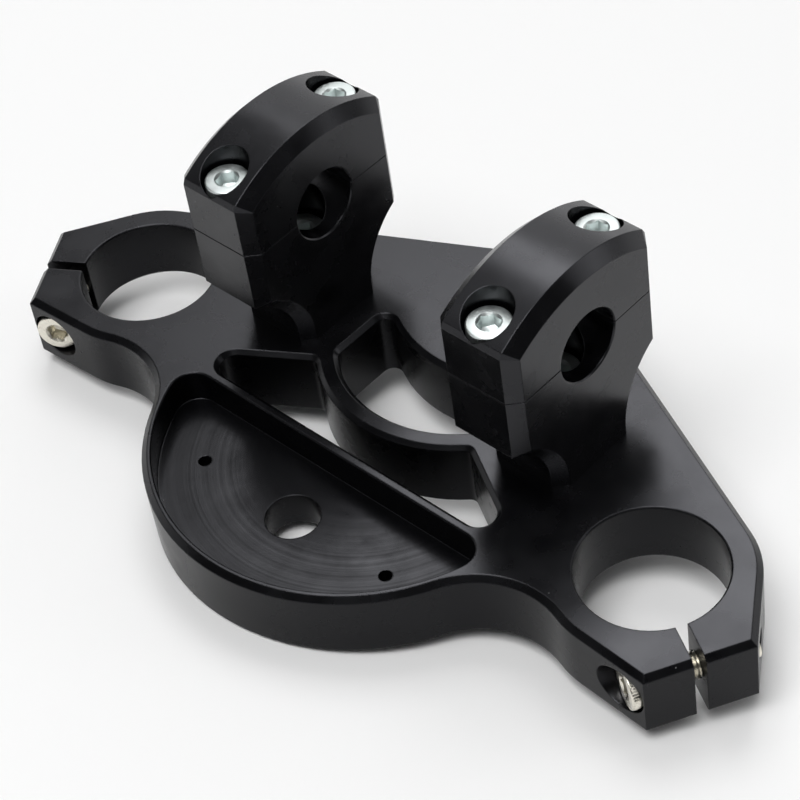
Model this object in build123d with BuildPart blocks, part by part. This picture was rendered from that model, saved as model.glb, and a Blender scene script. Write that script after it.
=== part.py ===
"""Upper triple clamp of a motorcycle fork with two handlebar risers, in millimetres.

The yoke plate is one machined billet. Its two clamp ears grip the fork legs, its rear bore
takes the steering stem, and a round pocket at the front carries an instrument. Each riser
is held by one bolt with a nut under the plate and clamps the handlebar under a cap.

The origin is on the stem axis at the underside of the plate. +Z is up along the stem,
-Y is the front of the motorcycle, and left and right are as seen from the front.
"""

import os
from math import acos, atan2, cos, degrees, radians, sin, sqrt

from build123d import *

# Fork legs and steering stem
fork_bore = 43.0
fork_spacing = 200.0
fork_offset = 48.0  # stem axis to the line through the fork legs
fork_lead_in = 2.2  # chamfer under the plate, where a leg enters
boss_wall = 8.5
stem_bore = 25.0
stem_wall = 17.5

# Yoke plate
plate_thickness = 22.5
top_chamfer = 1.8
bottom_chamfer = 0.8
edge_break = 0.4
waist_radius = 27.0

# Clamp ears, each split by a slot that runs outwards and to the front
slot_angle = 30.0
slot_width = 3.5
ear_reach = 13.3  # end face beyond the fork bore
ear_width = 32.2
pinch_setback = 7.9  # screw axis behind the end face
pinch_jaw = 9.2  # metal between the slot and the head seat
pinch_length = 30.0

# Instrument pocket
pocket_ahead = 8.0  # pocket centre in front of the fork line
pocket_radius = 62.5
pocket_rim = 3.0
pocket_back = 21.2  # straight back wall in front of the fork line
pocket_corner = 7.0
floor_thickness = 11.5
instrument_ahead = 40.0  # row of holes in front of the fork line
instrument_spacing = 73.0
instrument_hole = 4.0
wire_hole = 16.5

# Two windows with a straight rib in front and a bowed rib between them
straight_rib = 3.5
bowed_rib = 6.6
bow_radius = 45.3  # front face of the bowed rib
bow_behind = 37.0  # centre of the bow behind the fork line
front_window_half = 67.5  # sharp tip of the front window from the middle
front_window_angle = 30.0
front_window_tip = 5.0
front_window_shoulder = 2.5
rear_window_width = 54.0
rear_window_radius = 45.0
rear_window_back = 23.6  # middle of the rear edge behind the fork line
rear_window_corner = 3.5

# Handlebar risers
bar_diameter = 22.2
bar_height = 45.5  # bar axis above the plate
bar_behind = 22.0  # bar axis behind the fork line
riser_spacing = 99.0
riser_width = 28.0
riser_depth = 60.0
riser_chamfer = 3.7
neck_depth = 32.0
neck_height = 2.7
cove_radius = 24.0
crown_radius = 53.2
crown_drop = 26.0  # centre of the crown below the bar axis
crown_bevel = 1.15
parting_gap = 0.3
cap_screw_spacing = 44.4
cap_seat = 10.8  # head seat above the bar axis
cap_screw_length = 30.0
riser_bolt_seat = 28.0  # head seat below the bar axis
riser_bolt_length = 50.0

# Socket-head screws and nuts
small_thread = 8.0
small_head = 13.0
small_key = 6.0
large_thread = 10.0
large_head = 16.0
large_key = 8.0
large_nut = 17.0  # across flats
large_nut_height = 8.0
head_chamfer = 0.7
key_depth_share = 0.55  # depth of the socket in the height of the head
thread_clearance = 0.1
shank_clearance = 0.25
head_clearance = 1.0
tap_run_out = 2.0  # tapped depth past the end of the screw

# Places worked out from the sizes above
fork_line = -fork_offset
fork_radius = fork_bore / 2
boss_radius = fork_radius + boss_wall
stem_radius = stem_bore / 2 + stem_wall
rim_radius = pocket_radius + pocket_rim
pocket_centre = Vector(0, fork_line - pocket_ahead)
bow_centre = Vector(0, fork_line + bow_behind)
bar_y = fork_line + bar_behind
bar_z = plate_thickness + bar_height
instrument_y = fork_line - instrument_ahead
pinch_reach = fork_radius + ear_reach - pinch_setback
pinch_seat = slot_width / 2 + pinch_jaw
large_size = max(fork_spacing, 4 * rim_radius)  # longer than any cut through the part
sides = {"left": -1, "right": 1}


def polar(centre, radius, angle):
    """Point at an angle in degrees and a distance from a centre."""
    return centre + Vector(radius * cos(radians(angle)), radius * sin(radians(angle)))


def heading(start, end):
    """Angle in degrees of the direction from one point to another."""
    return degrees(atan2(end.Y - start.Y, end.X - start.X))


def tangent_circle_centre(first, first_reach, second, second_reach):
    """Centre at given distances from two points, on the right of the way between them."""
    span = (second - first).length
    along = (first_reach**2 - second_reach**2 + span**2) / (2 * span)
    aside = sqrt(first_reach**2 - along**2)
    forward = (second - first).normalized()
    return first + forward * along + Vector(forward.Y, -forward.X) * aside


def closed_circles(edges):
    """Edges that are whole circles, such as the rims of a bore."""
    return edges.filter_by(GeomType.CIRCLE).filter_by(lambda e: e.is_closed)


def plate_outline():
    """Right half of the plate's outline: tangent circles and lines, front middle to rear."""
    fork = Vector(fork_spacing / 2, fork_line)
    stem = Vector(0, 0)
    waist = tangent_circle_centre(
        pocket_centre, rim_radius + waist_radius, fork, boss_radius + waist_radius
    )
    from_pocket = heading(pocket_centre, waist)
    from_fork = heading(fork, waist)
    corner_reach = fork_radius + ear_reach
    corner_distance = sqrt(corner_reach**2 + (ear_width / 2) ** 2)
    corner_angle = degrees(atan2(ear_width / 2, corner_reach))
    tangent_angle = corner_angle + degrees(acos(boss_radius / corner_distance))
    front_angle = -slot_angle - tangent_angle
    outer_angle = -slot_angle + tangent_angle
    lean = degrees(acos((boss_radius - stem_radius) / (stem - fork).length))
    rear_angle = heading(fork, stem) - lean

    CenterArc(pocket_centre, rim_radius, -90, from_pocket + 90)
    CenterArc(waist, waist_radius, from_pocket + 180, from_fork - from_pocket)
    CenterArc(fork, boss_radius, from_fork, front_angle - from_fork)
    Polyline(
        polar(fork, boss_radius, front_angle),
        polar(fork, corner_distance, -slot_angle - corner_angle),
        polar(fork, corner_distance, -slot_angle + corner_angle),
        polar(fork, boss_radius, outer_angle),
    )
    CenterArc(fork, boss_radius, outer_angle, rear_angle - outer_angle)
    Line(polar(fork, boss_radius, rear_angle), polar(stem, stem_radius, rear_angle))
    CenterArc(stem, stem_radius, rear_angle, 90 - rear_angle)


def pinch_plane(side):
    """Plane in the middle of a clamp slot, square to its pinch screw, facing the head."""
    across = Vector(side * sin(radians(slot_angle)), cos(radians(slot_angle)), 0)
    along = Vector(side * cos(radians(slot_angle)), -sin(radians(slot_angle)), 0)
    fork = Vector(side * fork_spacing / 2, fork_line, plate_thickness / 2)
    return Plane(origin=fork + along * pinch_reach, x_dir=along, z_dir=-across)


def socket_screw(seat, thread, head, key, length):
    """Socket-head cap screw with its head seated on a plane and its shank below it."""
    with BuildPart() as screw:
        with BuildSketch(seat):
            Circle(head / 2)
        extrude(amount=thread)
        top = screw.faces().sort_by(Axis(seat.origin, seat.z_dir))[-1]
        chamfer(top.edges(), head_chamfer)
        with BuildSketch(seat.offset(thread)):
            RegularPolygon(key / 2, 6, major_radius=False)
        extrude(amount=-thread * key_depth_share, mode=Mode.SUBTRACT)
        with BuildSketch(seat):
            Circle(thread / 2)
        extrude(amount=-length)
    return screw.part


def hexagon_nut(seat, thread, width, height):
    """Hexagon nut that stands on a plane."""
    with BuildPart() as nut:
        with BuildSketch(seat):
            RegularPolygon(width / 2, 6, major_radius=False)
            Circle(thread / 2 + thread_clearance, mode=Mode.SUBTRACT)
        extrude(amount=height)
    return nut.part


# Yoke plate: the billet with its outline, chamfers and bores
with BuildPart() as yoke_plate:
    with BuildSketch():
        with BuildLine():
            plate_outline()
            mirror(about=Plane.YZ)
        make_face()
    extrude(amount=plate_thickness)
    chamfer(yoke_plate.faces().sort_by(Axis.Z)[-1].edges(), top_chamfer)
    chamfer(yoke_plate.faces().sort_by(Axis.Z)[0].edges(), bottom_chamfer)

    # Bores for the fork legs and the stem
    with BuildSketch():
        with Locations(*[(side * fork_spacing / 2, fork_line) for side in sides.values()]):
            Circle(fork_radius)
        Circle(stem_bore / 2)
    extrude(amount=plate_thickness, mode=Mode.SUBTRACT)
    lower_rims = closed_circles(yoke_plate.edges()).group_by(Axis.Z)[0]
    chamfer(lower_rims.filter_by(lambda e: abs(e.arc_center.X) > fork_radius), fork_lead_in)
    chamfer(closed_circles(yoke_plate.edges()).group_by(Axis.Z)[-1], edge_break)

    # Instrument pocket, round at the front and straight at the back
    with BuildSketch(Plane.XY.offset(plate_thickness)) as pocket:
        with Locations(pocket_centre):
            Circle(pocket_radius)
        with Locations((0, fork_line - pocket_back)):
            Rectangle(large_size, large_size, align=(Align.CENTER, Align.MIN), mode=Mode.SUBTRACT)
        fillet(pocket.vertices(), pocket_corner)
    extrude(amount=floor_thickness - plate_thickness, mode=Mode.SUBTRACT)

    # Front window, cut off behind by the bowed rib
    window_front = fork_line - pocket_back + straight_rib
    window_rise = front_window_half * sin(radians(front_window_angle)) / cos(radians(front_window_angle))
    with BuildSketch() as front_window:
        Polygon(
            (-front_window_half, window_front),
            (front_window_half, window_front),
            (0, window_front + window_rise),
            align=None,
        )
        with Locations(bow_centre):
            Circle(bow_radius, mode=Mode.SUBTRACT)
        fillet(front_window.vertices().group_by(Axis.Y)[0], front_window_tip)
        fillet(front_window.vertices().group_by(Axis.Y)[-1], front_window_shoulder)
    extrude(amount=plate_thickness, mode=Mode.SUBTRACT)

    # Rear window, between the bowed rib and the web in front of the stem
    with BuildSketch() as rear_window:
        with Locations(bow_centre):
            Circle(bow_radius - bowed_rib)
            Rectangle(rear_window_width, large_size, mode=Mode.INTERSECT)
        with Locations((0, fork_line + rear_window_back + rear_window_radius)):
            Circle(rear_window_radius, mode=Mode.SUBTRACT)
        fillet(rear_window.vertices(), rear_window_corner)
    extrude(amount=plate_thickness, mode=Mode.SUBTRACT)

    # Broken edges around the pocket and the windows
    chamfer(
        yoke_plate.faces().sort_by(Axis.Z)[-1].inner_wires().edges().filter_by(
            lambda e: not e.is_closed
        ),
        edge_break,
    )

    # Holes of the pocket floor, and clear holes for the riser bolts
    with BuildSketch():
        with Locations((0, instrument_y)):
            Circle(wire_hole / 2)
            with GridLocations(instrument_spacing, 0, 2, 1):
                Circle(instrument_hole / 2)
        with Locations((0, bar_y)):
            with GridLocations(riser_spacing, 0, 2, 1):
                Circle(large_thread / 2 + shank_clearance)
    extrude(amount=plate_thickness, mode=Mode.SUBTRACT)

    # Slots of the clamp ears
    with BuildSketch():
        for side in sides.values():
            turn = -slot_angle if side > 0 else slot_angle - 180
            with Locations(Location((side * fork_spacing / 2, fork_line), turn)):
                Rectangle(boss_radius + ear_reach, slot_width, align=(Align.MIN, Align.CENTER))
    extrude(amount=plate_thickness, mode=Mode.SUBTRACT)

    # Pinch-screw holes: counterbored and clear in the front jaw, tapped in the other
    for side in sides.values():
        slot_middle = pinch_plane(side)
        with BuildSketch(slot_middle):
            Circle(small_thread / 2 + shank_clearance)
        extrude(amount=ear_width, mode=Mode.SUBTRACT)
        with BuildSketch(slot_middle.offset(pinch_seat)):
            Circle(small_head / 2 + head_clearance)
        extrude(amount=ear_width, mode=Mode.SUBTRACT)
        with BuildSketch(slot_middle):
            Circle(small_thread / 2 + thread_clearance)
        extrude(amount=-ear_width, mode=Mode.SUBTRACT)

yoke_plate.part.label = "yoke_plate"


def riser_profile():
    """Half of a riser's side view, from the seat on the plate over the cove to the crown."""
    neck = neck_depth / 2
    face = riser_depth / 2
    cove_end = degrees(acos((neck + cove_radius - face) / cove_radius))
    shoulder = neck_height + cove_radius * sin(radians(cove_end))
    crown_centre = Vector(0, bar_height - crown_drop)
    crown_start = degrees(acos(face / crown_radius))
    crown_edge = polar(crown_centre, crown_radius, crown_start)
    Polyline((0, 0), (neck, 0), (neck, neck_height))
    CenterArc((neck + cove_radius, neck_height), cove_radius, 180, -cove_end)
    Line((face, shoulder), crown_edge)
    CenterArc(crown_centre, crown_radius, crown_start, 90 - crown_start)


def riser_blank(side):
    """Riser before it is split: the profile drawn across its width, with every hole."""
    riser_x = side * riser_spacing / 2
    side_plane = Plane(
        origin=(riser_x - riser_width / 2, bar_y, plate_thickness), x_dir=(0, 1, 0), z_dir=(1, 0, 0)
    )
    screw_places = [(riser_x, bar_y + end * cap_screw_spacing / 2) for end in (-1, 1)]
    with BuildPart() as blank:
        with BuildSketch(side_plane) as profile:
            with BuildLine():
                riser_profile()
                mirror(about=Plane.YZ)
            make_face()
            for edge_column in (0, -1):
                column = profile.vertices().group_by(Axis.X)[edge_column]
                chamfer(column.sort_by(Axis.Y)[-1], crown_bevel)
        extrude(amount=riser_width)
        rims = blank.faces().filter_by(Axis.X).edges()
        chamfer(rims.group_by(Axis.Z)[1:], riser_chamfer)

        # Bar bore
        with BuildSketch(side_plane):
            with Locations((0, bar_height)):
                Circle(bar_diameter / 2)
        extrude(amount=riser_width, mode=Mode.SUBTRACT)
        chamfer(closed_circles(blank.edges()), edge_break)

        # Cap screws: counterbored from the crown, tapped below the parting
        with BuildSketch(Plane.XY.offset(bar_z)):
            with Locations(*screw_places):
                Circle(small_thread / 2 + shank_clearance)
        extrude(amount=crown_radius, mode=Mode.SUBTRACT)
        with BuildSketch(Plane.XY.offset(bar_z + cap_seat)):
            with Locations(*screw_places):
                Circle(small_head / 2 + head_clearance)
        extrude(amount=crown_radius, mode=Mode.SUBTRACT)
        with BuildSketch(Plane.XY.offset(bar_z)):
            with Locations(*screw_places):
                Circle(small_thread / 2 + thread_clearance)
        extrude(amount=cap_seat - cap_screw_length - tap_run_out, mode=Mode.SUBTRACT)

        # Riser bolt: counterbored from the bar bore, clear below the head
        with BuildSketch(Plane.XY.offset(bar_z)):
            with Locations((riser_x, bar_y)):
                Circle(large_head / 2 + head_clearance)
        extrude(amount=-riser_bolt_seat, mode=Mode.SUBTRACT)
        with BuildSketch(Plane.XY.offset(bar_z)):
            with Locations((riser_x, bar_y)):
                Circle(large_thread / 2 + shank_clearance)
        extrude(amount=-bar_height, mode=Mode.SUBTRACT)
    return blank.part


def riser_half(blank, keep, parting):
    """Base or cap of a riser, cut from the blank at half the parting gap from the bar axis."""
    with BuildPart() as half:
        add(blank)
        split(bisect_by=Plane.XY.offset(parting), keep=keep)
    return half.part


pieces = [yoke_plate.part]


def keep_piece(part, label):
    """Name a finished piece and put it with the others."""
    part.label = label
    pieces.append(part)


for name, side in sides.items():
    riser = riser_blank(side)
    keep_piece(riser_half(riser, Keep.BOTTOM, bar_z - parting_gap / 2), f"{name}_riser_base")
    keep_piece(riser_half(riser, Keep.TOP, bar_z + parting_gap / 2), f"{name}_riser_cap")

    bolt_plane = Plane(origin=(side * riser_spacing / 2, bar_y, bar_z - riser_bolt_seat))
    riser_bolt = socket_screw(bolt_plane, large_thread, large_head, large_key, riser_bolt_length)
    keep_piece(riser_bolt, f"{name}_riser_bolt")
    underside = Plane(origin=(side * riser_spacing / 2, bar_y, 0), z_dir=(0, 0, -1))
    riser_nut = hexagon_nut(underside, large_thread, large_nut, large_nut_height)
    keep_piece(riser_nut, f"{name}_riser_nut")

    for place, end in {"front": -1, "rear": 1}.items():
        screw_y = bar_y + end * cap_screw_spacing / 2
        cap_plane = Plane(origin=(side * riser_spacing / 2, screw_y, bar_z + cap_seat))
        cap_screw = socket_screw(cap_plane, small_thread, small_head, small_key, cap_screw_length)
        keep_piece(cap_screw, f"{name}_cap_screw_{place}")

    pinch_screw = socket_screw(
        pinch_plane(side).offset(pinch_seat), small_thread, small_head, small_key, pinch_length
    )
    keep_piece(pinch_screw, f"{name}_pinch_screw")

os.makedirs("parts", exist_ok=True)
for piece in pieces:
    export_step(piece, f"parts/{piece.label}.step")
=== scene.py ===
"""Finishes, screws and stage of a motorcycle triple clamp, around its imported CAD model."""

from math import atan2, cos, pi, radians, sin

import bmesh
import bpy
from bpy.props import FloatProperty, FloatVectorProperty, IntProperty, PointerProperty
from bpy.types import Operator, Panel, PropertyGroup
from mathutils import Matrix, Vector


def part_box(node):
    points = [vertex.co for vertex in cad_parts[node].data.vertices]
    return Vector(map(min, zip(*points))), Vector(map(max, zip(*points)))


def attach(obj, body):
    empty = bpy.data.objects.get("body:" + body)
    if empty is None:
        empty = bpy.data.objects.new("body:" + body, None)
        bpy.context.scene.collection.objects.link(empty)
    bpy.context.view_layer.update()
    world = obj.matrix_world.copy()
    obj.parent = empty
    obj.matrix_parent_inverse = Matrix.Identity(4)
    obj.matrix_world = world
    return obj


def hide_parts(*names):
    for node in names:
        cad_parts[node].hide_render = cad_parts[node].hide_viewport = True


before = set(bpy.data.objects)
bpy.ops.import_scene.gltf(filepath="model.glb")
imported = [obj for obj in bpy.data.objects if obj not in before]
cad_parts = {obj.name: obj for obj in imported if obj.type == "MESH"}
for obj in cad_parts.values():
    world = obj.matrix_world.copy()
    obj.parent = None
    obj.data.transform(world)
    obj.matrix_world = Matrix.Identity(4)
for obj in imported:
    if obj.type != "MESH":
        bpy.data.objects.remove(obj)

bl_info = {
    "name": "Motorcycle Triple Clamp",
    "version": (1, 0, 0),
    "blender": (4, 5, 0),
    "location": "View3D > Sidebar > Triple Clamp",
    "description": "Finishes, screws and stage of a motorcycle triple clamp",
    "category": "Object",
}

MM = 0.001

# Nodes of the CAD model
PLATE_NODE = "yoke_plate"
RISER_NODES = ("left_riser_base", "left_riser_cap", "right_riser_base", "right_riser_cap")
NUT_NODES = ("left_riser_nut", "right_riser_nut")

# How far each screw was turned when it stopped, in degrees, as in the photo where that shows it
CAP_SCREW_TURNS = {
    "left_cap_screw_front": 14.0,
    "left_cap_screw_rear": 40.0,
    "right_cap_screw_front": 22.0,
    "right_cap_screw_rear": 33.0,
}
PINCH_SCREW_TURNS = {"left_pinch_screw": 18.0, "right_pinch_screw": 42.0}
RISER_BOLT_TURNS = {"left_riser_bolt": 9.0, "right_riser_bolt": 25.0}

# Places on the yoke plate, in the frame of the CAD model
FRONT_EDGE_Y = -120.7 * MM
POCKET_CENTRE_Y = -56.0 * MM
POCKET_RADIUS = 62.5 * MM
POCKET_BACK_Y = -69.2 * MM
POCKET_FLOOR_Z = 11.5 * MM
PLATE_TOP_Z = 22.5 * MM
SLOT_ANGLE = radians(30.0)
WINDOWS_HALF_WIDTH = 66.0 * MM
WINDOWS_FRONT_Y = -66.5 * MM
WINDOWS_BACK_Y = -14.5 * MM

# The chamfers of the CAD plate's windows are narrower than this, and slope at half a right angle
BROKEN_EDGE = 0.5 * MM
CHAMFER_RISE = sin(pi / 4)
RISE_TOLERANCE = 0.05

# Places this near are the same, and corners this near are merged
SAME_PLACE = 0.01 * MM
SAME_CORNER = 0.002 * MM

# Edges sharper than this stay sharp
PLATE_SHARP_ANGLE = radians(30.0)
SCREW_SHARP_ANGLE = radians(32.0)

# A CAD screw's shank is measured this near its tip, and its head this near its largest radius
TIP_REACH = 3.0 * MM
HEAD_TOLERANCE = 0.1 * MM

# The knurl of a screw starts this many roundings of the rim below the face, and ends above the seat
KNURL_TOP_SHARE = 1.4
KNURL_FOOT = 0.6 * MM
RIM_SEGMENTS = 4

# The shank is plain below the head, and the depth of its thread is a share of the pitch
PLAIN_SHANK = 2.0 * MM
THREAD_DEPTH_SHARE = 0.55

# The depth of the socket is a share of the head's height, and its drill point a share of the key
SOCKET_SIDES = 6
SOCKET_DEPTH_SHARE = 0.55
DRILL_POINT_SHARE = 0.3
MOUTH_CORNERS = 48

# Faces whose normals point further down than this face down
FACING_DOWN = -0.9

# Nearly all values of a noise lie between these
NOISE_LOW = 0.3
NOISE_HIGH = 0.7

# A wave texture goes through this angle, in radians, in each unit of length
WAVE_ANGLE = 20.0

# Refractive index of the oxide layer, gloss of its level faces, and height of its grain
OXIDE_IOR = 1.6
LEVEL_GLOSS = 0.5
GRAIN_HEIGHT = 0.05 * MM
GRAIN_STRENGTH = 0.12
BEVEL_SAMPLES = 6

# A face is upright when its normal rises by less than the first, and level by more than the second
UPRIGHT_LIMIT = 0.55
LEVEL_LIMIT = 0.98

# Smudges of handling, and what they add to the roughness and do to the dye, from faint to strong
SMUDGE_SIZE = 14.0 * MM
SMUDGE_ROUGHNESS = (-0.05, 0.06)
SMUDGE_TONE = (0.75, 1.3)

# Dust lies in cells of this size, most of them empty, as specks whose radius is a share of it
DUST_SPACING = 7.0 * MM
EMPTY_DUST_SHARE = 0.86
DUST_RADIUS_SHARE = 0.03

# Marks on the pocket floor, from the round wall inwards for arcs, and from dull to bright
POCKET_FLOOR_BAND = 0.1 * MM
FLOOR_SMUDGE_SIZE = 9.0 * MM
ARC_REACH = (6.0 * MM, 30.0 * MM)
ARC_SHARE = (0.8, 0.4)
FLOOR_GLOSS = (0.15, 0.47)
FLOOR_ROUGHNESS = (0.28, 0.22)
ARC_HEIGHT_SHARE = 1.2

# Clouds in the zinc, what they add to its roughness and do to its colour, and its turned rings
ZINC_CLOUD_SIZE = 2.2 * MM
ZINC_CLOUD_ROUGHNESS = (-0.06, 0.1)
ZINC_CLOUD_TONE = (0.92, 1.0)
TURNED_RING_STEP = 0.5527 * MM
TURNED_RING_HEIGHT = 0.02 * MM
TURNED_RING_STRENGTH = 0.15

# Place and side of each square lamp, in metres, and the setting that holds its power
LAMPS = {
    "key_lamp": ((0.2, -0.95, 2.65), 1.5, "key_power"),
    "back_softbox": ((-0.86, 1.23, 2.6), 1.6, "back_power"),
    "top_softbox": ((0.0, 0.0, 2.4), 3.6, "top_power"),
    "rear_softbox": ((-1.33, 1.9, 1.18), 1.8, "rear_power"),
    "side_softbox": ((1.42, 1.42, 0.9), 0.8, "side_power"),
}

# Distances from the origin, in metres, between which the paper fades into the backdrop
FADE_START = 0.3
FADE_END = 0.9

# Heights on a sphere of radius 1 between which the backdrop gives way to the room
BACKDROP_TOP = 0.16
ROOM_START = 0.26

# Width of the camera's sensor in millimetres, and how far it sees in metres
SENSOR_WIDTH = 36.0
SIGHT = 100.0


def linear(hex_colour):
    """Linear red, green and blue of an sRGB hex colour."""
    channels = [int(hex_colour[i:i + 2], 16) / 255 for i in (0, 2, 4)]
    return tuple(c / 12.92 if c <= 0.04045 else ((c + 0.055) / 1.055) ** 2.4 for c in channels)


class FinishSettings(PropertyGroup):
    """Black anodised finish of the plate and the risers."""

    dye_colour: FloatVectorProperty(
        name="Dye Colour", description="Colour of the anodised layer",
        subtype="COLOR", size=3, min=0.0, max=1.0, default=linear("040405"),
    )
    roughness: FloatProperty(
        name="Roughness", description="Roughness of the satin surface",
        subtype="FACTOR", min=0.0, max=1.0, default=0.26,
    )
    grain: FloatProperty(
        name="Grain", description="Size of the blasted grain",
        unit="LENGTH", default=0.35 * MM,
    )
    gloss_colour: FloatVectorProperty(
        name="Gloss Colour", description="Colour of what the anodised layer reflects",
        subtype="COLOR", size=3, min=0.0, max=1.0, default=linear("f5f6ff"),
    )
    dust_colour: FloatVectorProperty(
        name="Dust Colour", description="Colour of the specks of dust",
        subtype="COLOR", size=3, min=0.0, max=1.0, default=linear("5c5c5e"),
    )
    plate_side_gloss: FloatProperty(
        name="Plate Side Gloss",
        description="Gloss of the plate's upright faces, where 0.5 is that of the tops",
        subtype="FACTOR", min=0.0, max=1.0, default=0.14,
    )
    riser_side_gloss: FloatProperty(
        name="Riser Side Gloss",
        description="Gloss of the risers' upright faces, where 0.5 is that of the tops",
        subtype="FACTOR", min=0.0, max=1.0, default=0.28,
    )
    plate_edge_round: FloatProperty(
        name="Plate Edge Round", description="Soft rounding of the plate's edges",
        unit="LENGTH", default=0.55 * MM,
    )
    riser_edge_round: FloatProperty(
        name="Riser Edge Round", description="Soft rounding of the risers' edges",
        unit="LENGTH", default=0.35 * MM,
    )
    window_chamfer: FloatProperty(
        name="Window Chamfer", description="Width of the chamfers round the windows of the plate",
        unit="LENGTH", default=1.4 * MM,
    )
    mill_pass: FloatProperty(
        name="Mill Pass", description="Step between the cutter's passes on the pocket floor",
        unit="LENGTH", default=2.6 * MM,
    )
    mill_sheen: FloatProperty(
        name="Mill Sheen",
        description="How far the cutter's lines draw out the gloss of the pocket floor",
        subtype="FACTOR", min=0.0, max=1.0, default=0.3,
    )


class ScrewSettings(PropertyGroup):
    """Sizes and plating of the socket-head screws."""

    zinc_colour: FloatVectorProperty(
        name="Zinc Colour", description="Colour of the bright zinc plating",
        subtype="COLOR", size=3, min=0.0, max=1.0, default=linear("dfe6e5"),
    )
    pinch_zinc_colour: FloatVectorProperty(
        name="Pinch Screw Zinc Colour",
        description="Colour of the warmer plating of the pinch screws",
        subtype="COLOR", size=3, min=0.0, max=1.0, default=linear("e6e2d6"),
    )
    roughness: FloatProperty(
        name="Roughness", description="Roughness of the bright plating",
        subtype="FACTOR", min=0.0, max=1.0, default=0.4,
    )
    pinch_roughness: FloatProperty(
        name="Pinch Screw Roughness", description="Roughness of the warmer plating",
        subtype="FACTOR", min=0.0, max=1.0, default=0.28,
    )
    knurl_ribs: IntProperty(
        name="Knurl Ribs", description="Ribs around the head", min=12, max=96, default=48,
    )
    knurl_depth: FloatProperty(
        name="Knurl Depth", description="Depth of the grooves of the knurl",
        unit="LENGTH", default=0.22 * MM,
    )
    head_round: FloatProperty(
        name="Head Round", description="Rounding of the upper rim of the head",
        unit="LENGTH", default=0.6 * MM,
    )
    socket_chamfer: FloatProperty(
        name="Socket Chamfer",
        description="Width of the round chamfer outside the corners of the socket",
        unit="LENGTH", default=0.2 * MM,
    )
    small_key: FloatProperty(
        name="Small Key", description="Width across the flats of the M8 screw's socket",
        unit="LENGTH", default=6.0 * MM,
    )
    large_key: FloatProperty(
        name="Large Key", description="Width across the flats of the M10 bolt's socket",
        unit="LENGTH", default=8.0 * MM,
    )
    small_pitch: FloatProperty(
        name="Small Thread Pitch", description="Pitch of the M8 thread",
        unit="LENGTH", default=1.25 * MM,
    )
    large_pitch: FloatProperty(
        name="Large Thread Pitch", description="Pitch of the M10 thread",
        unit="LENGTH", default=1.5 * MM,
    )


class StageSettings(PropertyGroup):
    """Floor, light and camera."""

    floor_colour: FloatVectorProperty(
        name="Floor Colour", description="Colour of the paper floor",
        subtype="COLOR", size=3, min=0.0, max=1.0, default=linear("f7f7f7"),
    )
    floor_size: FloatProperty(
        name="Floor Size", description="Side of the paper floor", unit="LENGTH", default=2.4,
    )
    floor_tilt: FloatProperty(
        name="Floor Tilt",
        description="Slope of the floor under the part, which leans on its front edge",
        subtype="ANGLE", default=radians(6.31),
    )
    azimuth: FloatProperty(
        name="Azimuth", description="Turn of the camera round the part",
        subtype="ANGLE", default=radians(49.488),
    )
    elevation: FloatProperty(
        name="Elevation", description="Height of the camera above the horizon",
        subtype="ANGLE", default=radians(45.636),
    )
    roll: FloatProperty(
        name="Roll", description="Tilt of the camera about its own axis",
        subtype="ANGLE", default=radians(-9.666),
    )
    camera_place: FloatVectorProperty(
        name="Camera Place", description="Where the camera stands",
        subtype="XYZ", size=3, unit="LENGTH",
        default=(395.49 * MM, -378.62 * MM, 551.81 * MM),
    )
    lens: FloatProperty(
        name="Lens", description="Focal length of the camera in millimetres",
        min=1.0, default=114.2,
    )
    key_power: FloatProperty(
        name="Key Power", description="Power of the main lamp, high up in front of the part",
        subtype="POWER", default=47.0,
    )
    back_power: FloatProperty(
        name="Back Power", description="Power of the high softbox behind the part",
        subtype="POWER", default=22.0,
    )
    top_power: FloatProperty(
        name="Top Power", description="Power of the wide softbox above the part",
        subtype="POWER", default=18.0,
    )
    rear_power: FloatProperty(
        name="Rear Power", description="Power of the low softbox behind the part",
        subtype="POWER", default=8.0,
    )
    side_power: FloatProperty(
        name="Side Power", description="Power of the small softbox on the right",
        subtype="POWER", default=3.0,
    )
    room: FloatProperty(
        name="Room Light", description="Brightness of the room above the pale backdrop",
        min=0.0, default=0.05,
    )


def add_node(tree, kind, inputs=None, **settings):
    """Add a shader node, set its properties, and fill or link its inputs."""
    node = tree.nodes.new(kind)
    for key, value in settings.items():
        setattr(node, key, value)
    for key, value in (inputs or {}).items():
        if isinstance(value, bpy.types.NodeSocket):
            tree.links.new(value, node.inputs[key])
        else:
            node.inputs[key].default_value = value
    return node


def new_material(name):
    """Material with an empty node tree, and that tree."""
    material = bpy.data.materials.new(name)
    material.use_nodes = True
    material.node_tree.nodes.clear()
    return material, material.node_tree


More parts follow.
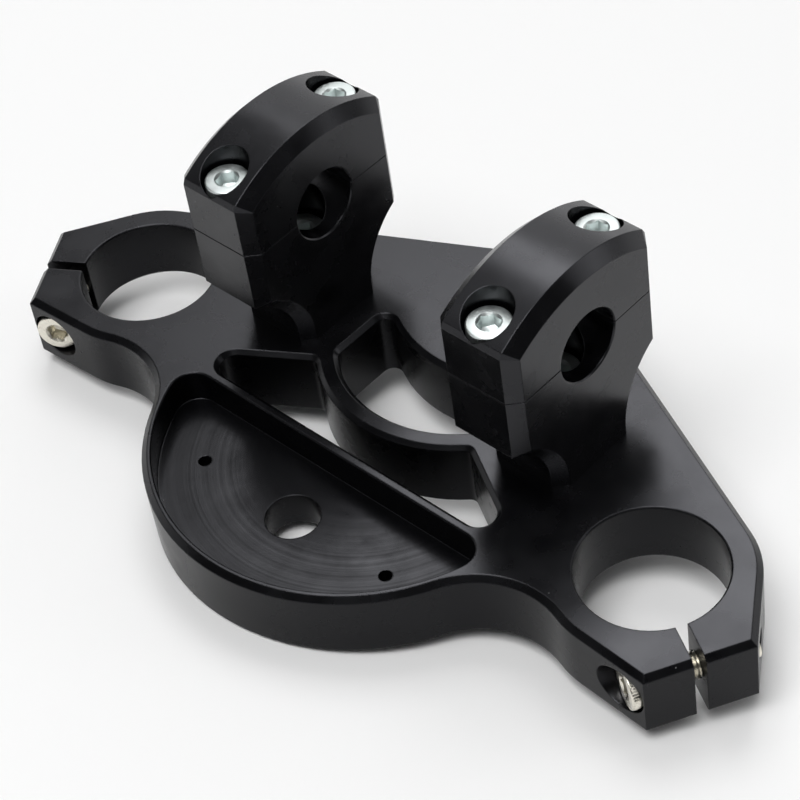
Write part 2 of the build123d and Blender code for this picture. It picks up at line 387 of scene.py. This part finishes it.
def anodised_aluminium(finish, name, side_gloss, edge_round, milled_floor):
    """Aluminium, fine blasted and anodised black.

    The dyed oxide layer is glassy and almost black, so nearly all that the eye sees is what the
    satin surface reflects. Blasting leaves a fine grain, handling leaves smudges and dust.
    """
    material, tree = new_material(name)
    coordinates = add_node(tree, "ShaderNodeTexCoord")
    place = coordinates.outputs["Object"]

    # The real grain is finer, and is drawn as coarse as it needs to be to show
    grain = add_node(tree, "ShaderNodeTexNoise", {
        "Vector": place, "Scale": 1 / finish.grain, "Detail": 2.0, "Roughness": 0.6})
    smudge = add_node(tree, "ShaderNodeTexNoise", {
        "Vector": place, "Scale": 1 / SMUDGE_SIZE, "Detail": 4.0, "Roughness": 0.55})
    wear = add_node(tree, "ShaderNodeMapRange", {
        "Value": smudge.outputs["Fac"], "From Min": NOISE_LOW, "From Max": NOISE_HIGH,
        "To Min": finish.roughness + SMUDGE_ROUGHNESS[0],
        "To Max": finish.roughness + SMUDGE_ROUGHNESS[1]})
    tone = add_node(tree, "ShaderNodeMapRange", {
        "Value": smudge.outputs["Fac"], "From Min": NOISE_LOW, "From Max": NOISE_HIGH,
        "To Min": SMUDGE_TONE[0], "To Max": SMUDGE_TONE[1]})
    dye = add_node(tree, "ShaderNodeMix", {
        "Factor": 1.0, "A": (*finish.dye_colour, 1.0), "B": tone.outputs["Result"]},
        data_type="RGBA", blend_type="MULTIPLY")

    # Specks of dust: one cell in seven holds one
    cells = add_node(tree, "ShaderNodeTexVoronoi", {"Vector": place, "Scale": 1 / DUST_SPACING})
    near = add_node(tree, "ShaderNodeMath", {
        0: cells.outputs["Distance"], 1: DUST_RADIUS_SHARE}, operation="LESS_THAN")
    chosen = add_node(tree, "ShaderNodeSeparateColor", {"Color": cells.outputs["Color"]})
    few = add_node(tree, "ShaderNodeMath", {
        0: chosen.outputs["Red"], 1: EMPTY_DUST_SHARE}, operation="GREATER_THAN")
    dust = add_node(tree, "ShaderNodeMath", {
        0: near.outputs[0], 1: few.outputs[0]}, operation="MULTIPLY")
    dusty = add_node(tree, "ShaderNodeMix", {
        "Factor": dust.outputs[0], "A": dye.outputs["Result"], "B": (*finish.dust_colour, 1.0)},
        data_type="RGBA")

    # Upright faces were cut by the flank of the cutter, and are duller than the faced tops
    facing = add_node(tree, "ShaderNodeSeparateXYZ", {"Vector": coordinates.outputs["Normal"]})
    level = add_node(tree, "ShaderNodeMath", {0: facing.outputs["Z"]}, operation="ABSOLUTE")
    faced = add_node(tree, "ShaderNodeMapRange", {
        "Value": level.outputs[0], "From Min": UPRIGHT_LIMIT, "From Max": LEVEL_LIMIT,
        "To Min": side_gloss, "To Max": LEVEL_GLOSS})

    surface = {
        "Base Color": dusty.outputs["Result"],
        "Roughness": wear.outputs["Result"],
        "IOR": OXIDE_IOR,
        "Specular IOR Level": faced.outputs["Result"],
        "Specular Tint": (*finish.gloss_colour, 1.0),
    }
    height = grain.outputs["Fac"]
    if milled_floor:
        height = add_milled_floor(tree, finish, place, surface, height)
    rounded = add_node(tree, "ShaderNodeBevel", {"Radius": edge_round}, samples=BEVEL_SAMPLES)
    bump = add_node(tree, "ShaderNodeBump", {
        "Strength": GRAIN_STRENGTH, "Distance": GRAIN_HEIGHT, "Height": height,
        "Normal": rounded.outputs["Normal"]})
    surface["Normal"] = bump.outputs["Normal"]
    shader = add_node(tree, "ShaderNodeBsdfPrincipled", surface)
    add_node(tree, "ShaderNodeOutputMaterial", {"Surface": shader.outputs["BSDF"]})
    return material


def add_milled_floor(tree, finish, place, surface, height):
    """Cutter marks on the pocket floor: smudges, and arcs that are clearest by the round wall.

    Changes the surface's gloss, roughness and sheen there, and gives back the new height.
    """
    parts = add_node(tree, "ShaderNodeSeparateXYZ", {"Vector": place})
    flat = add_node(tree, "ShaderNodeCombineXYZ", {
        "X": parts.outputs["X"], "Y": parts.outputs["Y"]})
    spoke = add_node(tree, "ShaderNodeVectorMath", {
        0: flat.outputs["Vector"], 1: (0.0, POCKET_CENTRE_Y, 0.0)}, operation="SUBTRACT")
    from_centre = add_node(tree, "ShaderNodeVectorMath", {
        0: spoke.outputs["Vector"]}, operation="LENGTH")
    to_round = add_node(tree, "ShaderNodeMath", {
        0: POCKET_RADIUS, 1: from_centre.outputs["Value"]}, operation="SUBTRACT")
    to_back = add_node(tree, "ShaderNodeMath", {
        0: POCKET_BACK_Y, 1: parts.outputs["Y"]}, operation="SUBTRACT")

    # The mask is 1 on the pocket floor and 0 elsewhere
    at_floor = add_node(tree, "ShaderNodeMath", {
        0: parts.outputs["Z"], 1: POCKET_FLOOR_Z, 2: POCKET_FLOOR_BAND}, operation="COMPARE")
    in_front = add_node(tree, "ShaderNodeMath", {
        0: to_back.outputs[0], 1: 0.0}, operation="GREATER_THAN")
    inside = add_node(tree, "ShaderNodeMath", {
        0: to_round.outputs[0], 1: 0.0}, operation="GREATER_THAN")
    both = add_node(tree, "ShaderNodeMath", {
        0: in_front.outputs[0], 1: inside.outputs[0]}, operation="MULTIPLY")
    mask = add_node(tree, "ShaderNodeMath", {
        0: at_floor.outputs[0], 1: both.outputs[0]}, operation="MULTIPLY")

    passes = add_node(tree, "ShaderNodeMath", {
        0: to_round.outputs[0], 1: finish.mill_pass}, operation="DIVIDE")
    lines = add_node(tree, "ShaderNodeTexNoise", {
        "W": passes.outputs[0], "Scale": 1.0, "Detail": 4.0, "Roughness": 0.75},
        noise_dimensions="1D")
    cloud = add_node(tree, "ShaderNodeTexNoise", {
        "Vector": place, "Scale": 1 / FLOOR_SMUDGE_SIZE, "Detail": 4.0, "Roughness": 0.65})
    arcs = add_node(tree, "ShaderNodeMapRange", {
        "Value": to_round.outputs[0], "From Min": ARC_REACH[0], "From Max": ARC_REACH[1],
        "To Min": ARC_SHARE[0], "To Max": ARC_SHARE[1]})
    mixed = add_node(tree, "ShaderNodeMix", {
        "Factor": arcs.outputs["Result"], "A": cloud.outputs["Fac"], "B": lines.outputs["Fac"]})

    bright = add_node(tree, "ShaderNodeMapRange", {
        "Value": mixed.outputs["Result"], "From Min": NOISE_LOW, "From Max": NOISE_HIGH,
        "To Min": FLOOR_GLOSS[0], "To Max": FLOOR_GLOSS[1]})
    gloss = add_node(tree, "ShaderNodeMix", {
        "Factor": mask.outputs[0], "A": surface["Specular IOR Level"],
        "B": bright.outputs["Result"]})
    smooth = add_node(tree, "ShaderNodeMapRange", {
        "Value": mixed.outputs["Result"], "From Min": NOISE_LOW, "From Max": NOISE_HIGH,
        "To Min": FLOOR_ROUGHNESS[0], "To Max": FLOOR_ROUGHNESS[1]})
    rough = add_node(tree, "ShaderNodeMix", {
        "Factor": mask.outputs[0], "A": surface["Roughness"], "B": smooth.outputs["Result"]})
    ridge = add_node(tree, "ShaderNodeMath", {
        0: lines.outputs["Fac"], 1: ARC_HEIGHT_SHARE, 2: height}, operation="MULTIPLY_ADD")
    ridged = add_node(tree, "ShaderNodeMix", {
        "Factor": mask.outputs[0], "A": height, "B": ridge.outputs[0]})

    along = add_node(tree, "ShaderNodeVectorMath", {
        0: (0.0, 0.0, 1.0), 1: spoke.outputs["Vector"]}, operation="CROSS_PRODUCT")
    sheen = add_node(tree, "ShaderNodeMath", {
        0: mask.outputs[0], 1: finish.mill_sheen}, operation="MULTIPLY")
    surface["Specular IOR Level"] = gloss.outputs["Result"]
    surface["Roughness"] = rough.outputs["Result"]
    surface["Tangent"] = along.outputs["Vector"]
    surface["Anisotropic"] = sheen.outputs[0]
    return ridged.outputs["Result"]


def zinc_plated_steel(name, colour, roughness):
    """Steel with bright zinc plating, turned on the head.

    The plating is a pale metal. Turning leaves fine rings on the head, and the rings and handling
    make the mirror image soft and cloudy.
    """
    material, tree = new_material(name)
    place = add_node(tree, "ShaderNodeTexCoord").outputs["Object"]
    across = add_node(tree, "ShaderNodeUVMap", uv_map="head").outputs["UV"]

    # Real rings are finer, and are drawn as coarse as they need to be to show
    rings = add_node(tree, "ShaderNodeTexWave", {
        "Vector": across, "Scale": 2 * pi / WAVE_ANGLE / (TURNED_RING_STEP / MM),
        "Distortion": 0.6, "Detail": 2.0},
        wave_type="RINGS", rings_direction="SPHERICAL")
    cloud = add_node(tree, "ShaderNodeTexNoise", {
        "Vector": place, "Scale": 1 / ZINC_CLOUD_SIZE, "Detail": 4.0, "Roughness": 0.6})
    soft = add_node(tree, "ShaderNodeMapRange", {
        "Value": cloud.outputs["Fac"], "From Min": NOISE_LOW, "From Max": NOISE_HIGH,
        "To Min": roughness + ZINC_CLOUD_ROUGHNESS[0],
        "To Max": roughness + ZINC_CLOUD_ROUGHNESS[1]})
    tint = add_node(tree, "ShaderNodeMapRange", {
        "Value": cloud.outputs["Fac"], "From Min": NOISE_LOW, "From Max": NOISE_HIGH,
        "To Min": ZINC_CLOUD_TONE[0], "To Max": ZINC_CLOUD_TONE[1]})
    plated = add_node(tree, "ShaderNodeMix", {
        "Factor": 1.0, "A": (*colour, 1.0), "B": tint.outputs["Result"]},
        data_type="RGBA", blend_type="MULTIPLY")
    bump = add_node(tree, "ShaderNodeBump", {
        "Strength": TURNED_RING_STRENGTH, "Distance": TURNED_RING_HEIGHT,
        "Height": rings.outputs["Fac"]})
    shader = add_node(tree, "ShaderNodeBsdfPrincipled", {
        "Base Color": plated.outputs["Result"], "Metallic": 1.0,
        "Roughness": soft.outputs["Result"], "Normal": bump.outputs["Normal"]})
    add_node(tree, "ShaderNodeOutputMaterial", {"Surface": shader.outputs["BSDF"]})
    return material


def dress(obj, material):
    """Give an object its only material."""
    slots = obj.data.materials
    slots.clear()
    slots.append(material)


def pick(obj):
    """Select an object alone, and make it the active one."""
    bpy.ops.object.select_all(action="DESELECT")
    obj.select_set(True)
    bpy.context.view_layer.objects.active = obj


def select_where(obj, kind, test):
    """In edit mode, select only the vertices, edges or faces that pass a test."""
    bpy.ops.mesh.select_mode(type=kind)
    bpy.ops.mesh.select_all(action="DESELECT")
    mesh = bmesh.from_edit_mesh(obj.data)
    elements = {"VERT": mesh.verts, "EDGE": mesh.edges, "FACE": mesh.faces}[kind]
    chosen = [element for element in elements if test(element)]
    if not chosen:
        raise RuntimeError(f"{obj.name}: nothing to select")
    for element in chosen:
        element.select_set(True)
    mesh.select_flush_mode()
    bmesh.update_edit_mesh(obj.data)


def at_height(height):
    """Test for a vertex, an edge or a face that lies at a height."""
    def test(element):
        corners = element.verts if hasattr(element, "verts") else [element]
        return all(abs(corner.co.z - height) < SAME_PLACE for corner in corners)
    return test


def screw_sizes(node, up):
    """Head height, head radius, shank radius, length and middle of the head of a CAD screw."""
    points = [v.co.copy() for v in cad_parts[node].data.vertices]
    heights = [p.dot(up) for p in points]
    top = max(heights)
    tip = min(heights)
    face = [p for p, height in zip(points, heights) if height > top - SAME_PLACE]
    middle = sum(face, Vector()) / len(face)
    reach = [((p - middle) - up * (p - middle).dot(up)).length for p in points]
    head_radius = max(reach)
    shank_radius = max(r for r, height in zip(reach, heights) if height < tip + TIP_REACH)
    seat = min(height for r, height in zip(reach, heights) if r > head_radius - HEAD_TOLERANCE)
    return top - seat, head_radius, shank_radius, seat - tip, middle


def cut_away(piece, cutter):
    """Cut a shape out of a piece, and delete the cutter."""
    pick(piece)
    bpy.ops.object.modifier_add(type="BOOLEAN")
    cut = piece.modifiers[-1]
    cut.object = cutter
    cut.operation = "DIFFERENCE"
    cut.solver = "EXACT"
    bpy.ops.object.modifier_apply(modifier=cut.name)
    pick(cutter)
    bpy.ops.object.delete()


def model_head(name, head_height, head_radius, screws):
    """Knurled head with a rounded rim, its face at the origin. Stays in edit mode."""
    corners = 2 * screws.knurl_ribs
    bpy.ops.object.select_all(action="DESELECT")
    bpy.ops.mesh.primitive_cylinder_add(
        vertices=corners, radius=head_radius, depth=head_height, location=(0, 0, -head_height / 2))
    head = bpy.context.object
    head.name = name
    bpy.ops.object.transform_apply(location=True, rotation=True, scale=True)
    bpy.ops.object.mode_set(mode="EDIT")

    # Every other corner of the head's side is pressed in between two rings
    knurl_rings = (-KNURL_TOP_SHARE * screws.head_round, -head_height + KNURL_FOOT)
    for height in knurl_rings:
        bpy.ops.mesh.select_all(action="SELECT")
        bpy.ops.mesh.bisect(plane_co=(0, 0, height), plane_no=(0, 0, 1))
    on_ring = [at_height(height) for height in knurl_rings]
    step = 2 * pi / corners
    select_where(head, "VERT", lambda v: any(test(v) for test in on_ring)
                 and round(atan2(v.co.y, v.co.x) / step) % 2 == 1)
    narrow = 1 - screws.knurl_depth / head_radius
    bpy.ops.transform.resize(value=(narrow, narrow, 1), center_override=(0, 0, 0))

    select_where(head, "EDGE", at_height(0.0))
    bpy.ops.mesh.bevel(offset=screws.head_round, segments=RIM_SEGMENTS, affect="EDGES")
    return head


def draw_shank(screw, head_height, head_radius, shank_radius, length, pitch):
    """In edit mode, draw the shank out of the head: a plain neck, a thread and a chamfered tip.

    The thread is drawn as ridges, two steps to each turn. Leaves edit mode.
    """
    at_seat = at_height(-head_height)
    select_where(screw, "FACE", lambda f: f.normal.z < FACING_DOWN and at_seat(f))
    bpy.ops.mesh.inset(thickness=head_radius - shank_radius)
    core = 1 - THREAD_DEPTH_SHARE * pitch / shank_radius
    bpy.ops.mesh.extrude_region_move(TRANSFORM_OT_translate={"value": (0, 0, -PLAIN_SHANK)})
    depth = -head_height - PLAIN_SHANK
    turns = int((length - PLAIN_SHANK - pitch) / pitch)
    for half in range(2 * turns):
        bpy.ops.mesh.extrude_region_move(TRANSFORM_OT_translate={"value": (0, 0, -pitch / 2)})
        depth -= pitch / 2
        size = core if half % 2 == 0 else 1 / core
        bpy.ops.transform.resize(value=(size, size, 1), center_override=(0, 0, depth))
    tip = -length - head_height
    bpy.ops.mesh.extrude_region_move(TRANSFORM_OT_translate={"value": (0, 0, tip - depth)})
    bpy.ops.transform.resize(value=(core, core, 1), center_override=(0, 0, tip))
    bpy.ops.object.mode_set(mode="OBJECT")


def cut_socket(screw, head_height, key, screws):
    """Cut the key socket into the head: six-sided, with a drill point and a round chamfer."""
    socket_depth = SOCKET_DEPTH_SHARE * head_height
    key_radius = key / 2 / cos(pi / SOCKET_SIDES)
    bpy.ops.object.select_all(action="DESELECT")
    bpy.ops.mesh.primitive_cylinder_add(
        vertices=SOCKET_SIDES, radius=key_radius, depth=2 * socket_depth)
    cutter = bpy.context.object
    bpy.ops.object.mode_set(mode="EDIT")
    select_where(cutter, "FACE", lambda f: f.normal.z < FACING_DOWN)
    bpy.ops.mesh.extrude_region_move(
        TRANSFORM_OT_translate={"value": (0, 0, -DRILL_POINT_SHARE * key)})
    bpy.ops.mesh.merge(type="CENTER")
    bpy.ops.object.mode_set(mode="OBJECT")
    cut_away(screw, cutter)

    # The chamfer is a cone, at its lower end as wide as the flats
    slope = key_radius + screws.socket_chamfer - key / 2
    bpy.ops.object.select_all(action="DESELECT")
    bpy.ops.mesh.primitive_cone_add(
        vertices=MOUTH_CORNERS, radius1=key / 2, radius2=key / 2 + 2 * slope, depth=2 * slope)
    cut_away(screw, bpy.context.object)


def model_screw(name, node, up, key, pitch, screws):
    """Socket-head screw of a CAD screw's sizes, head up, with its face at the origin."""
    head_height, head_radius, shank_radius, length, _ = screw_sizes(node, up)
    screw = model_head(name, head_height, head_radius, screws)
    draw_shank(screw, head_height, head_radius, shank_radius, length, pitch)
    cut_socket(screw, head_height, key, screws)

    pick(screw)
    bpy.ops.object.mode_set(mode="EDIT")
    bpy.ops.mesh.select_all(action="SELECT")
    bpy.ops.mesh.remove_doubles(threshold=SAME_CORNER)
    bpy.ops.mesh.normals_make_consistent(inside=False)
    bpy.ops.object.mode_set(mode="OBJECT")
    bpy.ops.object.shade_smooth_by_angle(angle=SCREW_SHARP_ANGLE)

    # The head's own map, in millimetres from its axis, so that the turned rings stay on it
    head_map = screw.data.uv_layers.new(name="head")
    for loop in screw.data.loops:
        head_map.data[loop.index].uv = screw.data.vertices[loop.vertex_index].co.xy / MM
    return screw


def place_screw(screw, node, up, turn):
    """Move a screw from the origin onto its CAD node, and let it stand for the node."""
    middle = screw_sizes(node, up)[-1]
    turned = Matrix.Rotation(radians(turn), 4, "Z")
    leaned = up.to_track_quat("Z", "Y").to_matrix().to_4x4()
    screw.matrix_world = Matrix.Translation(middle) @ leaned @ turned
    pick(screw)
    bpy.ops.object.transform_apply(location=True, rotation=True, scale=True)
    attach(screw, "root")
    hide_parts(node)


def socket_name(node):
    """Name of the socket-head screw or bolt that stands for a CAD node."""
    return node.replace("screw", "socket_screw").replace("bolt", "socket_bolt")


def build_screws(turns, up_of, key, pitch, screws, material):
    """Model one screw, copy it for each node, and place the copies."""
    first, *others = turns
    master = model_screw(socket_name(first), first, up_of(first), key, pitch, screws)
    dress(master, material)
    copies = {first: master}
    for node in others:
        twin = master.copy()
        twin.data = master.data.copy()
        twin.name = socket_name(node)
        bpy.context.collection.objects.link(twin)
        copies[node] = twin
    for node, screw in copies.items():
        place_screw(screw, node, up_of(node), turns[node])


def copy_plate():
    """Copy of the CAD plate, with its facets joined."""
    plate = bpy.data.objects.new("chamfered_yoke_plate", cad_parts[PLATE_NODE].data.copy())
    bpy.context.collection.objects.link(plate)
    pick(plate)
    bpy.ops.object.mode_set(mode="EDIT")
    bpy.ops.mesh.select_all(action="SELECT")
    bpy.ops.mesh.remove_doubles(threshold=SAME_CORNER)
    bpy.ops.object.mode_set(mode="OBJECT")
    bpy.ops.mesh.customdata_custom_splitnormals_clear()
    return plate


def is_window_chamfer(face):
    """Whether a face of the plate belongs to a narrow chamfer round a window."""
    middle = face.calc_center_median()
    lowest = min(corner.co.z for corner in face.verts)
    return (abs(middle.x) < WINDOWS_HALF_WIDTH and WINDOWS_FRONT_Y < middle.y < WINDOWS_BACK_Y
            and abs(face.normal.z - CHAMFER_RISE) < RISE_TOLERANCE
            and lowest > PLATE_TOP_Z - BROKEN_EDGE)


def widen_window_chamfers(plate, width):
    """Move the upper edges of the windows' chamfers outwards, and the lower ones down.

    No operator moves an edge sideways within a face, so the corners are moved in code.
    """
    mesh = bmesh.new()
    mesh.from_mesh(plate.data)
    slopes = {face for face in mesh.faces if is_window_chamfer(face)}
    if not slopes:
        raise RuntimeError(f"{plate.name}: no chamfers round the windows")
    corners = {corner for face in slopes for corner in face.verts}
    wider = width - (PLATE_TOP_Z - min(corner.co.z for corner in corners))
    moves = {}
    for corner in corners:
        if corner.co.z < PLATE_TOP_Z - SAME_PLACE:
            moves[corner] = Vector((0, 0, -wider))
        else:
            around = [loop for loop in corner.link_loops if loop.face in slopes]
            facing = sum((loop.face.normal * loop.calc_angle() for loop in around), Vector())
            moves[corner] = -wider * Vector((facing.x, facing.y, 0)).normalized()
    for corner, move in moves.items():
        corner.co += move
    mesh.to_mesh(plate.data)
    mesh.free()


def upright(node):
    """Direction of the head of a screw that stands upright, whichever it is."""
    return Vector((0, 0, 1))


def to_front_jaw(node):
    """Direction of the head of a pinch screw, square to its slot."""
    side = 1 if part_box(node)[0].x > 0 else -1
    return Vector((-side * sin(SLOT_ANGLE), -cos(SLOT_ANGLE), 0))


class TRIPLE_CLAMP_OT_finish_plate(Operator):
    """Chamfer the windows of the yoke plate and give the plate its black anodised finish"""

    bl_idname = "triple_clamp.finish_plate"
    bl_label = "Finish Yoke Plate"

    def execute(self, context):
        finish = context.scene.triple_clamp_finish
        plate = copy_plate()
        widen_window_chamfers(plate, finish.window_chamfer)
        bpy.ops.object.shade_smooth_by_angle(angle=PLATE_SHARP_ANGLE)
        dress(plate, anodised_aluminium(
            finish, "black_anodised_aluminium_plate",
            finish.plate_side_gloss, finish.plate_edge_round, milled_floor=True))
        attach(plate, "root")
        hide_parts(PLATE_NODE)
        return {"FINISHED"}


class TRIPLE_CLAMP_OT_finish_risers(Operator):
    """Give the riser bases and caps their black anodised finish"""

    bl_idname = "triple_clamp.finish_risers"
    bl_label = "Finish Risers"

    def execute(self, context):
        finish = context.scene.triple_clamp_finish
        material = anodised_aluminium(
            finish, "black_anodised_aluminium_riser",
            finish.riser_side_gloss, finish.riser_edge_round, milled_floor=False)
        for node in RISER_NODES:
            dress(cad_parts[node], material)
        return {"FINISHED"}


class TRIPLE_CLAMP_OT_cap_screws(Operator):
    """Model the screws of the riser caps"""

    bl_idname = "triple_clamp.cap_screws"
    bl_label = "Cap Screws"

    def execute(self, context):
        screws = context.scene.triple_clamp_screws
        material = zinc_plated_steel(
            "bright_zinc_plated_steel", screws.zinc_colour, screws.roughness)
        build_screws(
            CAP_SCREW_TURNS, upright, screws.small_key, screws.small_pitch, screws, material)
        return {"FINISHED"}


class TRIPLE_CLAMP_OT_pinch_screws(Operator):
    """Model the pinch screws of the clamp ears"""

    bl_idname = "triple_clamp.pinch_screws"
    bl_label = "Pinch Screws"

    def execute(self, context):
        screws = context.scene.triple_clamp_screws
        material = zinc_plated_steel(
            "warm_zinc_plated_steel", screws.pinch_zinc_colour, screws.pinch_roughness)
        build_screws(
            PINCH_SCREW_TURNS, to_front_jaw, screws.small_key, screws.small_pitch, screws, material)
        return {"FINISHED"}


class TRIPLE_CLAMP_OT_riser_bolts(Operator):
    """Model the bolts that hold the risers, and plate their nuts"""

    bl_idname = "triple_clamp.riser_bolts"
    bl_label = "Riser Bolts"

    def execute(self, context):
        screws = context.scene.triple_clamp_screws
        material = zinc_plated_steel(
            "bolt_zinc_plated_steel", screws.zinc_colour, screws.roughness)
        build_screws(
            RISER_BOLT_TURNS, upright, screws.large_key, screws.large_pitch, screws, material)
        for node in NUT_NODES:
            dress(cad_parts[node], material)
        return {"FINISHED"}


class TRIPLE_CLAMP_OT_stage(Operator):
    """Set up the pale floor, the soft light and the camera"""

    bl_idname = "triple_clamp.stage"
    bl_label = "Stage"

    def execute(self, context):
        stage = context.scene.triple_clamp_stage
        self.add_floor(stage)
        self.add_room(context.scene, stage)
        for name, (place, size, power) in LAMPS.items():
            self.add_lamp(name, place, size, getattr(stage, power))
        self.add_camera(context.scene, stage)
        context.scene.view_settings.view_transform = "Standard"
        return {"FINISHED"}

    def add_floor(self, stage):
        """White paper, which the part touches with its front edge and its riser bolts' ends."""
        bpy.ops.object.select_all(action="DESELECT")
        bpy.ops.mesh.primitive_plane_add(
            size=stage.floor_size, location=(0, FRONT_EDGE_Y, 0),
            rotation=(-stage.floor_tilt, 0, 0))
        floor = bpy.context.object
        bpy.ops.object.transform_apply(location=True, rotation=True, scale=True)
        floor.name = "paper_floor"
        material, tree = new_material("white_paper")
        paper = add_node(tree, "ShaderNodeBsdfDiffuse", {"Color": (*stage.floor_colour, 1.0)})

        # Away from the part the paper fades into the pale backdrop
        place = add_node(tree, "ShaderNodeTexCoord").outputs["Object"]
        away = add_node(tree, "ShaderNodeVectorMath", {0: place}, operation="LENGTH")
        fade = add_node(tree, "ShaderNodeMapRange", {
            "Value": away.outputs["Value"], "From Min": FADE_START, "From Max": FADE_END})
        path = add_node(tree, "ShaderNodeLightPath")
        mirrored = add_node(tree, "ShaderNodeMath", {
            0: path.outputs["Is Camera Ray"], 1: path.outputs["Is Glossy Ray"]},
            operation="MAXIMUM")
        seen = add_node(tree, "ShaderNodeMath", {
            0: mirrored.outputs[0], 1: path.outputs["Is Transmission Ray"]}, operation="MAXIMUM")
        share = add_node(tree, "ShaderNodeMath", {
            0: fade.outputs["Result"], 1: seen.outputs[0]}, operation="MULTIPLY")
        backdrop = add_node(tree, "ShaderNodeEmission", {"Color": (*stage.floor_colour, 1.0)})
        sheet = add_node(tree, "ShaderNodeMixShader", {
            "Fac": share.outputs[0], 1: paper.outputs[0], 2: backdrop.outputs[0]})

        # The paper has no underside, so that it hides nothing in low views
        underside = add_node(tree, "ShaderNodeNewGeometry").outputs["Backfacing"]
        clear = add_node(tree, "ShaderNodeBsdfTransparent")
        one_sided = add_node(tree, "ShaderNodeMixShader", {
            "Fac": underside, 1: sheet.outputs[0], 2: clear.outputs[0]})
        add_node(tree, "ShaderNodeOutputMaterial", {"Surface": one_sided.outputs[0]})
        dress(floor, material)

    def add_room(self, scene, stage):
        """Room: a pale backdrop low down all round, and dim above it, so that edges stay dark."""
        world = bpy.data.worlds.new("studio_room")
        scene.world = world
        world.use_nodes = True
        tree = world.node_tree
        tree.nodes.clear()
        way = add_node(tree, "ShaderNodeTexCoord").outputs["Generated"]
        parts = add_node(tree, "ShaderNodeSeparateXYZ", {"Vector": way})
        strength = add_node(tree, "ShaderNodeMapRange", {
            "Value": parts.outputs["Z"], "From Min": BACKDROP_TOP, "From Max": ROOM_START,
            "To Min": 1.0, "To Max": stage.room})
        room = add_node(tree, "ShaderNodeBackground", {
            "Color": (*stage.floor_colour, 1.0), "Strength": strength.outputs["Result"]})
        add_node(tree, "ShaderNodeOutputWorld", {"Surface": room.outputs[0]})

    def add_lamp(self, name, place, size, power):
        """Square soft lamp that faces the part."""
        bpy.ops.object.light_add(type="AREA", location=place)
        lamp = bpy.context.object
        lamp.name = name
        lamp.data.size = size
        lamp.data.energy = power
        lamp.rotation_euler = (-Vector(place)).to_track_quat("-Z", "Y").to_euler()

    def add_camera(self, scene, stage):
        """Camera at the photo's place, turn and tilt."""
        right = Vector((cos(stage.azimuth), sin(stage.azimuth), 0))
        forward = Vector((-sin(stage.azimuth) * cos(stage.elevation),
                          cos(stage.azimuth) * cos(stage.elevation), -sin(stage.elevation)))
        up = right.cross(forward)
        rolled_right = right * cos(stage.roll) + up * sin(stage.roll)
        rolled_up = up * cos(stage.roll) - right * sin(stage.roll)
        bpy.ops.object.camera_add(location=stage.camera_place)
        camera = bpy.context.object
        camera.name = "photo_camera"
        turn = Matrix((rolled_right, rolled_up, -forward)).transposed()
        camera.rotation_euler = turn.to_euler()
        camera.data.lens = stage.lens
        camera.data.sensor_width = SENSOR_WIDTH
        camera.data.clip_end = SIGHT
        scene.camera = camera


class TRIPLE_CLAMP_PT_panel(Panel):
    """Sidebar panel of the triple clamp"""

    bl_label = "Triple Clamp"
    bl_space_type = "VIEW_3D"
    bl_region_type = "UI"
    bl_category = "Triple Clamp"

    def draw(self, context):
        for name in SETTINGS:
            box = self.layout.box()
            settings = getattr(context.scene, name)
            for key in settings.__annotations__:
                box.prop(settings, key)
        for operator in OPERATORS:
            self.layout.operator(operator.bl_idname)


SETTINGS = {
    "triple_clamp_finish": FinishSettings,
    "triple_clamp_screws": ScrewSettings,
    "triple_clamp_stage": StageSettings,
}
OPERATORS = (
    TRIPLE_CLAMP_OT_finish_plate,
    TRIPLE_CLAMP_OT_finish_risers,
    TRIPLE_CLAMP_OT_cap_screws,
    TRIPLE_CLAMP_OT_pinch_screws,
    TRIPLE_CLAMP_OT_riser_bolts,
    TRIPLE_CLAMP_OT_stage,
)


def register():
    """Register the settings, the operators and the panel."""
    for name, group in SETTINGS.items():
        bpy.utils.register_class(group)
        setattr(bpy.types.Scene, name, PointerProperty(type=group))
    for operator in OPERATORS:
        bpy.utils.register_class(operator)
    bpy.utils.register_class(TRIPLE_CLAMP_PT_panel)


def unregister():
    """Take back what register added."""
    bpy.utils.unregister_class(TRIPLE_CLAMP_PT_panel)
    for operator in reversed(OPERATORS):
        bpy.utils.unregister_class(operator)
    for name, group in SETTINGS.items():
        delattr(bpy.types.Scene, name)
        bpy.utils.unregister_class(group)


def main():
    """Build the scene."""
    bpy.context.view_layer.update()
    register()
    bpy.ops.triple_clamp.finish_plate()
    bpy.ops.triple_clamp.finish_risers()
    bpy.ops.triple_clamp.cap_screws()
    bpy.ops.triple_clamp.pinch_screws()
    bpy.ops.triple_clamp.riser_bolts()
    bpy.ops.triple_clamp.stage()


if __name__ == "__main__":
    main()
